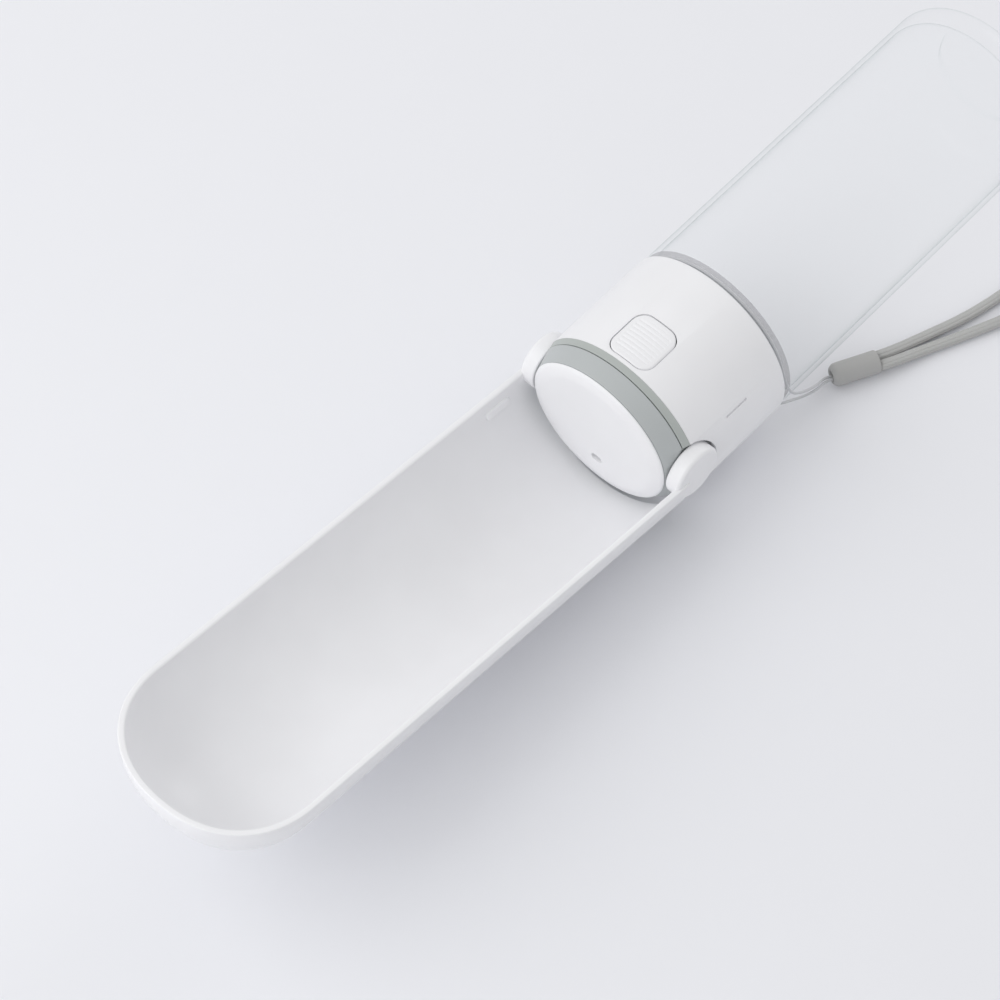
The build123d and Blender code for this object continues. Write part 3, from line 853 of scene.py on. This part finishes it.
def button_mesh():
    """The button, still smooth, as a grid of slices across it on its curved top."""
    across, slices = 72, 180
    verts = []
    for i in range(slices + 1):
        x = BUTTON_LENGTH / 2 * sin(radians(-90 + 180 * i / slices))
        past = max(0.0, abs(x) - BUTTON_LENGTH / 2 + BUTTON_CORNER)
        half = BUTTON_WIDTH / 2 - BUTTON_CORNER + sqrt(max(0.0, BUTTON_CORNER**2 - past**2))
        for j in range(across + 1):
            y = half * sin(radians(-90 + 180 * j / across))
            verts.append(at(BUTTON_X + x, y, button_height(x, y)))
    row = across + 1
    faces = [
        (i * row + j, i * row + j + 1, (i + 1) * row + j + 1, (i + 1) * row + j)
        for i in range(slices)
        for j in range(across)
    ]
    loop = list(range(row)) + [i * row + across for i in range(1, slices + 1)]
    loop += [slices * row + j for j in range(across - 1, -1, -1)]
    loop += [i * row for i in range(slices - 1, 0, -1)]
    start = len(verts)
    verts += [(verts[i][0], verts[i][1], at(0, 0, BUTTON_FLOOR)[2]) for i in loop]
    count = len(loop)
    faces += [(loop[i], loop[(i + 1) % count], start + (i + 1) % count, start + i) for i in range(count)]
    faces.append(tuple(range(start, start + count)))
    return verts, faces


def rib_nodes():
    """Geometry Nodes that press soft grooves across a top, fading out towards its outline."""
    tree = bpy.data.node_groups.new("button ribs", "GeometryNodeTree")
    new, link, socket = tree.nodes.new, tree.links.new, tree.interface.new_socket
    socket("Geometry", in_out="OUTPUT", socket_type="NodeSocketGeometry")
    socket("Geometry", in_out="INPUT", socket_type="NodeSocketGeometry")
    for name in ("Middle", "Pitch", "Depth", "Border", "Fade"):
        socket(name, in_out="INPUT", socket_type="NodeSocketFloat")
    socket("Finish", in_out="INPUT", socket_type="NodeSocketMaterial")
    sizes = new("NodeGroupInput").outputs

    def worked(operation, first, second=0.0):
        """The result of one step of arithmetic on numbers or other nodes' results."""
        node = new("ShaderNodeMath")
        node.operation = operation
        for place, value in zip(node.inputs, (first, second)):
            if isinstance(value, float):
                place.default_value = value
            else:
                link(value, place)
        return node.outputs["Value"]

    inside = new("GeometryNodeInputNamedAttribute")
    inside.data_type = "FLOAT"
    inside.inputs["Name"].default_value = "inside"
    spread = new("ShaderNodeSeparateXYZ")
    link(new("GeometryNodeInputPosition").outputs["Position"], spread.inputs["Vector"])
    from_middle = worked("SUBTRACT", spread.outputs["X"], sizes["Middle"])
    ribs_along = worked("DIVIDE", from_middle, sizes["Pitch"])
    wave = worked("COSINE", worked("MULTIPLY", ribs_along, 2 * pi))
    groove = worked("POWER", worked("ADD", worked("MULTIPLY", wave, -0.5), 0.5), 2.0)
    past_border = worked("SUBTRACT", inside.outputs["Attribute"], sizes["Border"])
    fade = worked("DIVIDE", past_border, sizes["Fade"])
    fade.node.use_clamp = True
    deep = worked("MULTIPLY", worked("MULTIPLY", groove, fade), sizes["Depth"])
    below = new("ShaderNodeCombineXYZ")
    link(worked("MULTIPLY", deep, -1.0), below.inputs["Z"])
    press = new("GeometryNodeSetPosition")
    link(sizes["Geometry"], press.inputs["Geometry"])
    link(below.outputs["Vector"], press.inputs["Offset"])
    real = new("GeometryNodeRealizeInstances")
    link(press.outputs["Geometry"], real.inputs["Geometry"])
    finish = new("GeometryNodeSetMaterial")
    link(real.outputs["Geometry"], finish.inputs["Geometry"])
    link(sizes["Finish"], finish.inputs["Material"])
    link(finish.outputs["Geometry"], new("NodeGroupOutput").inputs["Geometry"])
    return tree


def press_ribs(obj):
    """Press ribs into the smooth button, whose points first learn how far inside they lie."""
    inside = obj.data.attributes.new("inside", "FLOAT", "POINT")
    for vertex, distance in zip(obj.data.vertices, inside.data):
        x, y = vertex.co.x * 1000 - SHIFT_X - BUTTON_X, vertex.co.y * 1000
        distance.value = within_button(x, y) / 1000
    ribs = obj.modifiers.new("ribs", "NODES")
    ribs.node_group = rib_nodes()
    values = {
        "Middle": at(BUTTON_X, 0, 0)[0], "Pitch": RIB_PITCH / 1000, "Depth": RIB_DEPTH / 1000,
        "Border": RIB_BORDER / 1000, "Fade": RIB_FADE / 1000, "Finish": white,
    }
    for item in ribs.node_group.interface.items_tree:
        if item.in_out == "INPUT" and item.name in values:
            ribs[item.identifier] = values[item.name]
    settle(obj)
    obj.data.attributes.remove(obj.data.attributes["inside"])


button = mesh_piece("button_seen", *button_mesh(), white)
press_ribs(button)
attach(button, "button")
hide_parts("button")

# Bottle.
BOTTLE_WALL = 1.5
NECK_FRONT = 27.6
NECK_R = 24.0
NECK_BORE = 21.8
SHOULDER_EDGE = 1.3
SHOULDER_INNER_EDGE = 5.0
BASE_EDGE = 10.0
BASE_INNER_EDGE = 8.5
BASE_THICK = 7.6
BASE_RING_R = 19.0
HOLLOW_R = 17.2
HOLLOW_DEPTH = 3.6


def bottle_profile():
    """The bottle's outside from the neck to the base's hollow, and its inside back again."""
    bore = BOTTLE_R - BOTTLE_WALL
    outside = (
        [(NECK_FRONT, NECK_R), (SHOULDER_X, NECK_R)]
        + arc(SHOULDER_X + SHOULDER_EDGE, BOTTLE_R - SHOULDER_EDGE, SHOULDER_EDGE, 180, 90)
        + arc(BOTTLE_END - BASE_EDGE, BOTTLE_R - BASE_EDGE, BASE_EDGE, 90, 0, 20)
        + [(BOTTLE_END, BASE_RING_R), (BOTTLE_END - HOLLOW_DEPTH, HOLLOW_R)]
        + [(BOTTLE_END - HOLLOW_DEPTH, 0)]
    )
    floor_x, front_x = BOTTLE_END - BASE_THICK, SHOULDER_X + BOTTLE_WALL
    inside = (
        [(floor_x, 0)]
        + arc(floor_x - BASE_INNER_EDGE, bore - BASE_INNER_EDGE, BASE_INNER_EDGE, 0, 90, 18)
        + arc(front_x + SHOULDER_INNER_EDGE, bore - SHOULDER_INNER_EDGE, SHOULDER_INNER_EDGE, 90, 180, 10)
        + [(front_x, NECK_BORE), (NECK_FRONT, NECK_BORE)]
    )
    return outside + inside


bottle = turned("bottle_seen", bottle_profile(), clear, segments=256)
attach(bottle, "bottle")
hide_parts("bottle")
bottle.visible_shadow = False
bottle.visible_diffuse = False

# Lanyard.
neck_cord = cord_curve("neck_cord_seen", cord_route, CORD_D)
neck_cord.data.materials.append(cord_white)
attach(neck_cord, "head")
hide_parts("neck_cord")

STRAP_HALF_HEIGHT = 1.55
STRAP_RIBS = 8
STRAP_RIB_DEPTH = 0.12
STRAP_ROUND = 96


def strap_section():
    """A flattened round with lengthwise ribs, as a braided strap has."""
    section = []
    for i in range(STRAP_ROUND):
        a = 2 * pi * i / STRAP_ROUND
        swell = 1 - STRAP_RIB_DEPTH * (0.5 - 0.5 * cos(STRAP_RIBS * a)) ** 4
        section.append((STRAP_D / 2 * cos(a) * swell, STRAP_HALF_HEIGHT * sin(a) * swell))
    return section


strap_line = line_along("strap_guide", strap_route)
strap = swept("strap_seen", strap_line, strap_section(), strap_grey)
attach(strap, "head")
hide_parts("lanyard_strap")


def crimp_piece(name, profile, look):
    """A solid turned about the sleeve's axis from a closed profile of distance and radius."""
    segments = 96
    verts = []
    for ahead, r in profile:
        for i in range(segments):
            a = 2 * pi * i / segments
            x, y, z = by_crimp(CRIMP_FRONT, ahead, r * sin(a))
            verts.append(at(x, y, z + r * cos(a)))
    return mesh_piece(name, verts, ring_faces(len(profile), segments), look)


CRIMP_EDGE = 0.7
mouth_profile = [
    (4.0, 0), (4.0, 1.6), (0.5, 1.9), (0.1, 2.2), (0.0, 2.6), (0.25, 3.05), (1.2, 3.75), (1.8, 3.95),
    (2.6, CRIMP_R),
]
back_profile = [
    *arc(crimp_length - CRIMP_EDGE, CRIMP_R - CRIMP_EDGE, CRIMP_EDGE, 90, 0, 8),
    (crimp_length, 3.0), (crimp_length - 1.2, 2.9), (crimp_length - 1.2, 0),
]
# The near-black piece inside the sleeve's mouth is painted shade, standing for the dark inside of the
# hollow.
mouth_shade_profile = [(3.9, 0), (3.9, 1.55), (1.0, 1.8), (1.05, 1.7), (3.6, 1.5), (3.6, 0)]
crimp = crimp_piece("crimp_seen", mouth_profile + back_profile, sleeve)
mouth_shade_piece = crimp_piece("crimp_mouth_painted_shade", mouth_shade_profile, hollow)
for piece in (crimp, mouth_shade_piece):
    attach(piece, "head")
    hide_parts("lanyard_crimp")

# Finishes of the pieces inside, which stay as the CAD has them.
inside_pieces = (
    (inner, ("front_core", "outlet_tube", "neck_collar", "valve_body", "valve_stem", "button_guide")),
    (steel, ("hinge_pins", "button_spring", "valve_spring")),
    (rubber, ("valve_seal", "neck_gasket", "vent_valve")),
)
for look, names in inside_pieces:
    for name in names:
        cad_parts[name].data.materials.clear()
        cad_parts[name].data.materials.append(look)

# Floor, world and lamps.
FLOOR_HALF = 6
WORLD_LIGHT = 0.635
LAMP_DISTANCE = 1.4
floor = mesh_piece(
    "floor",
    [
        (-FLOOR_HALF, -FLOOR_HALF, 0), (FLOOR_HALF, -FLOOR_HALF, 0),
        (FLOOR_HALF, FLOOR_HALF, 0), (-FLOOR_HALF, FLOOR_HALF, 0),
    ],
    [(0, 1, 2, 3)],
    plastic("floor", (0.826, 0.833, 0.868), 0.7, grain=300, mottle=0.004, spec=0.2),
)
if floor.data.polygons[0].normal.z < 0:
    floor.data.flip_normals()
world = bpy.data.worlds.new("studio")
world.use_nodes = True
world.node_tree.nodes["Background"].inputs[0].default_value = (1, 1, 1, 1)
world.node_tree.nodes["Background"].inputs[1].default_value = WORLD_LIGHT
bpy.context.scene.world = world


def lamp(name, height, round_from_x, power, size=0.8):
    """A round soft box, at angles in degrees above the floor and round from the x axis."""
    data = bpy.data.lights.new(name, "AREA")
    data.shape = "DISK"
    data.size = size
    data.energy = power
    obj = bpy.data.objects.new(name, data)
    a, b = radians(height), radians(round_from_x)
    place = Vector((cos(a) * cos(b), cos(a) * sin(b), sin(a))) * LAMP_DISTANCE
    obj.location = place
    obj.rotation_euler = (-place).to_track_quat("-Z", "Y").to_euler()
    bpy.context.scene.collection.objects.link(obj)


lamp("key", 45, 131, 5.95, size=1.4)
lamp("left", 45, 180, 2.1)
lamp("low left", 24, 180, 1.6)
lamp("low right", 24, 0, 3.3)

bpy.context.scene.view_settings.view_transform = "Standard"
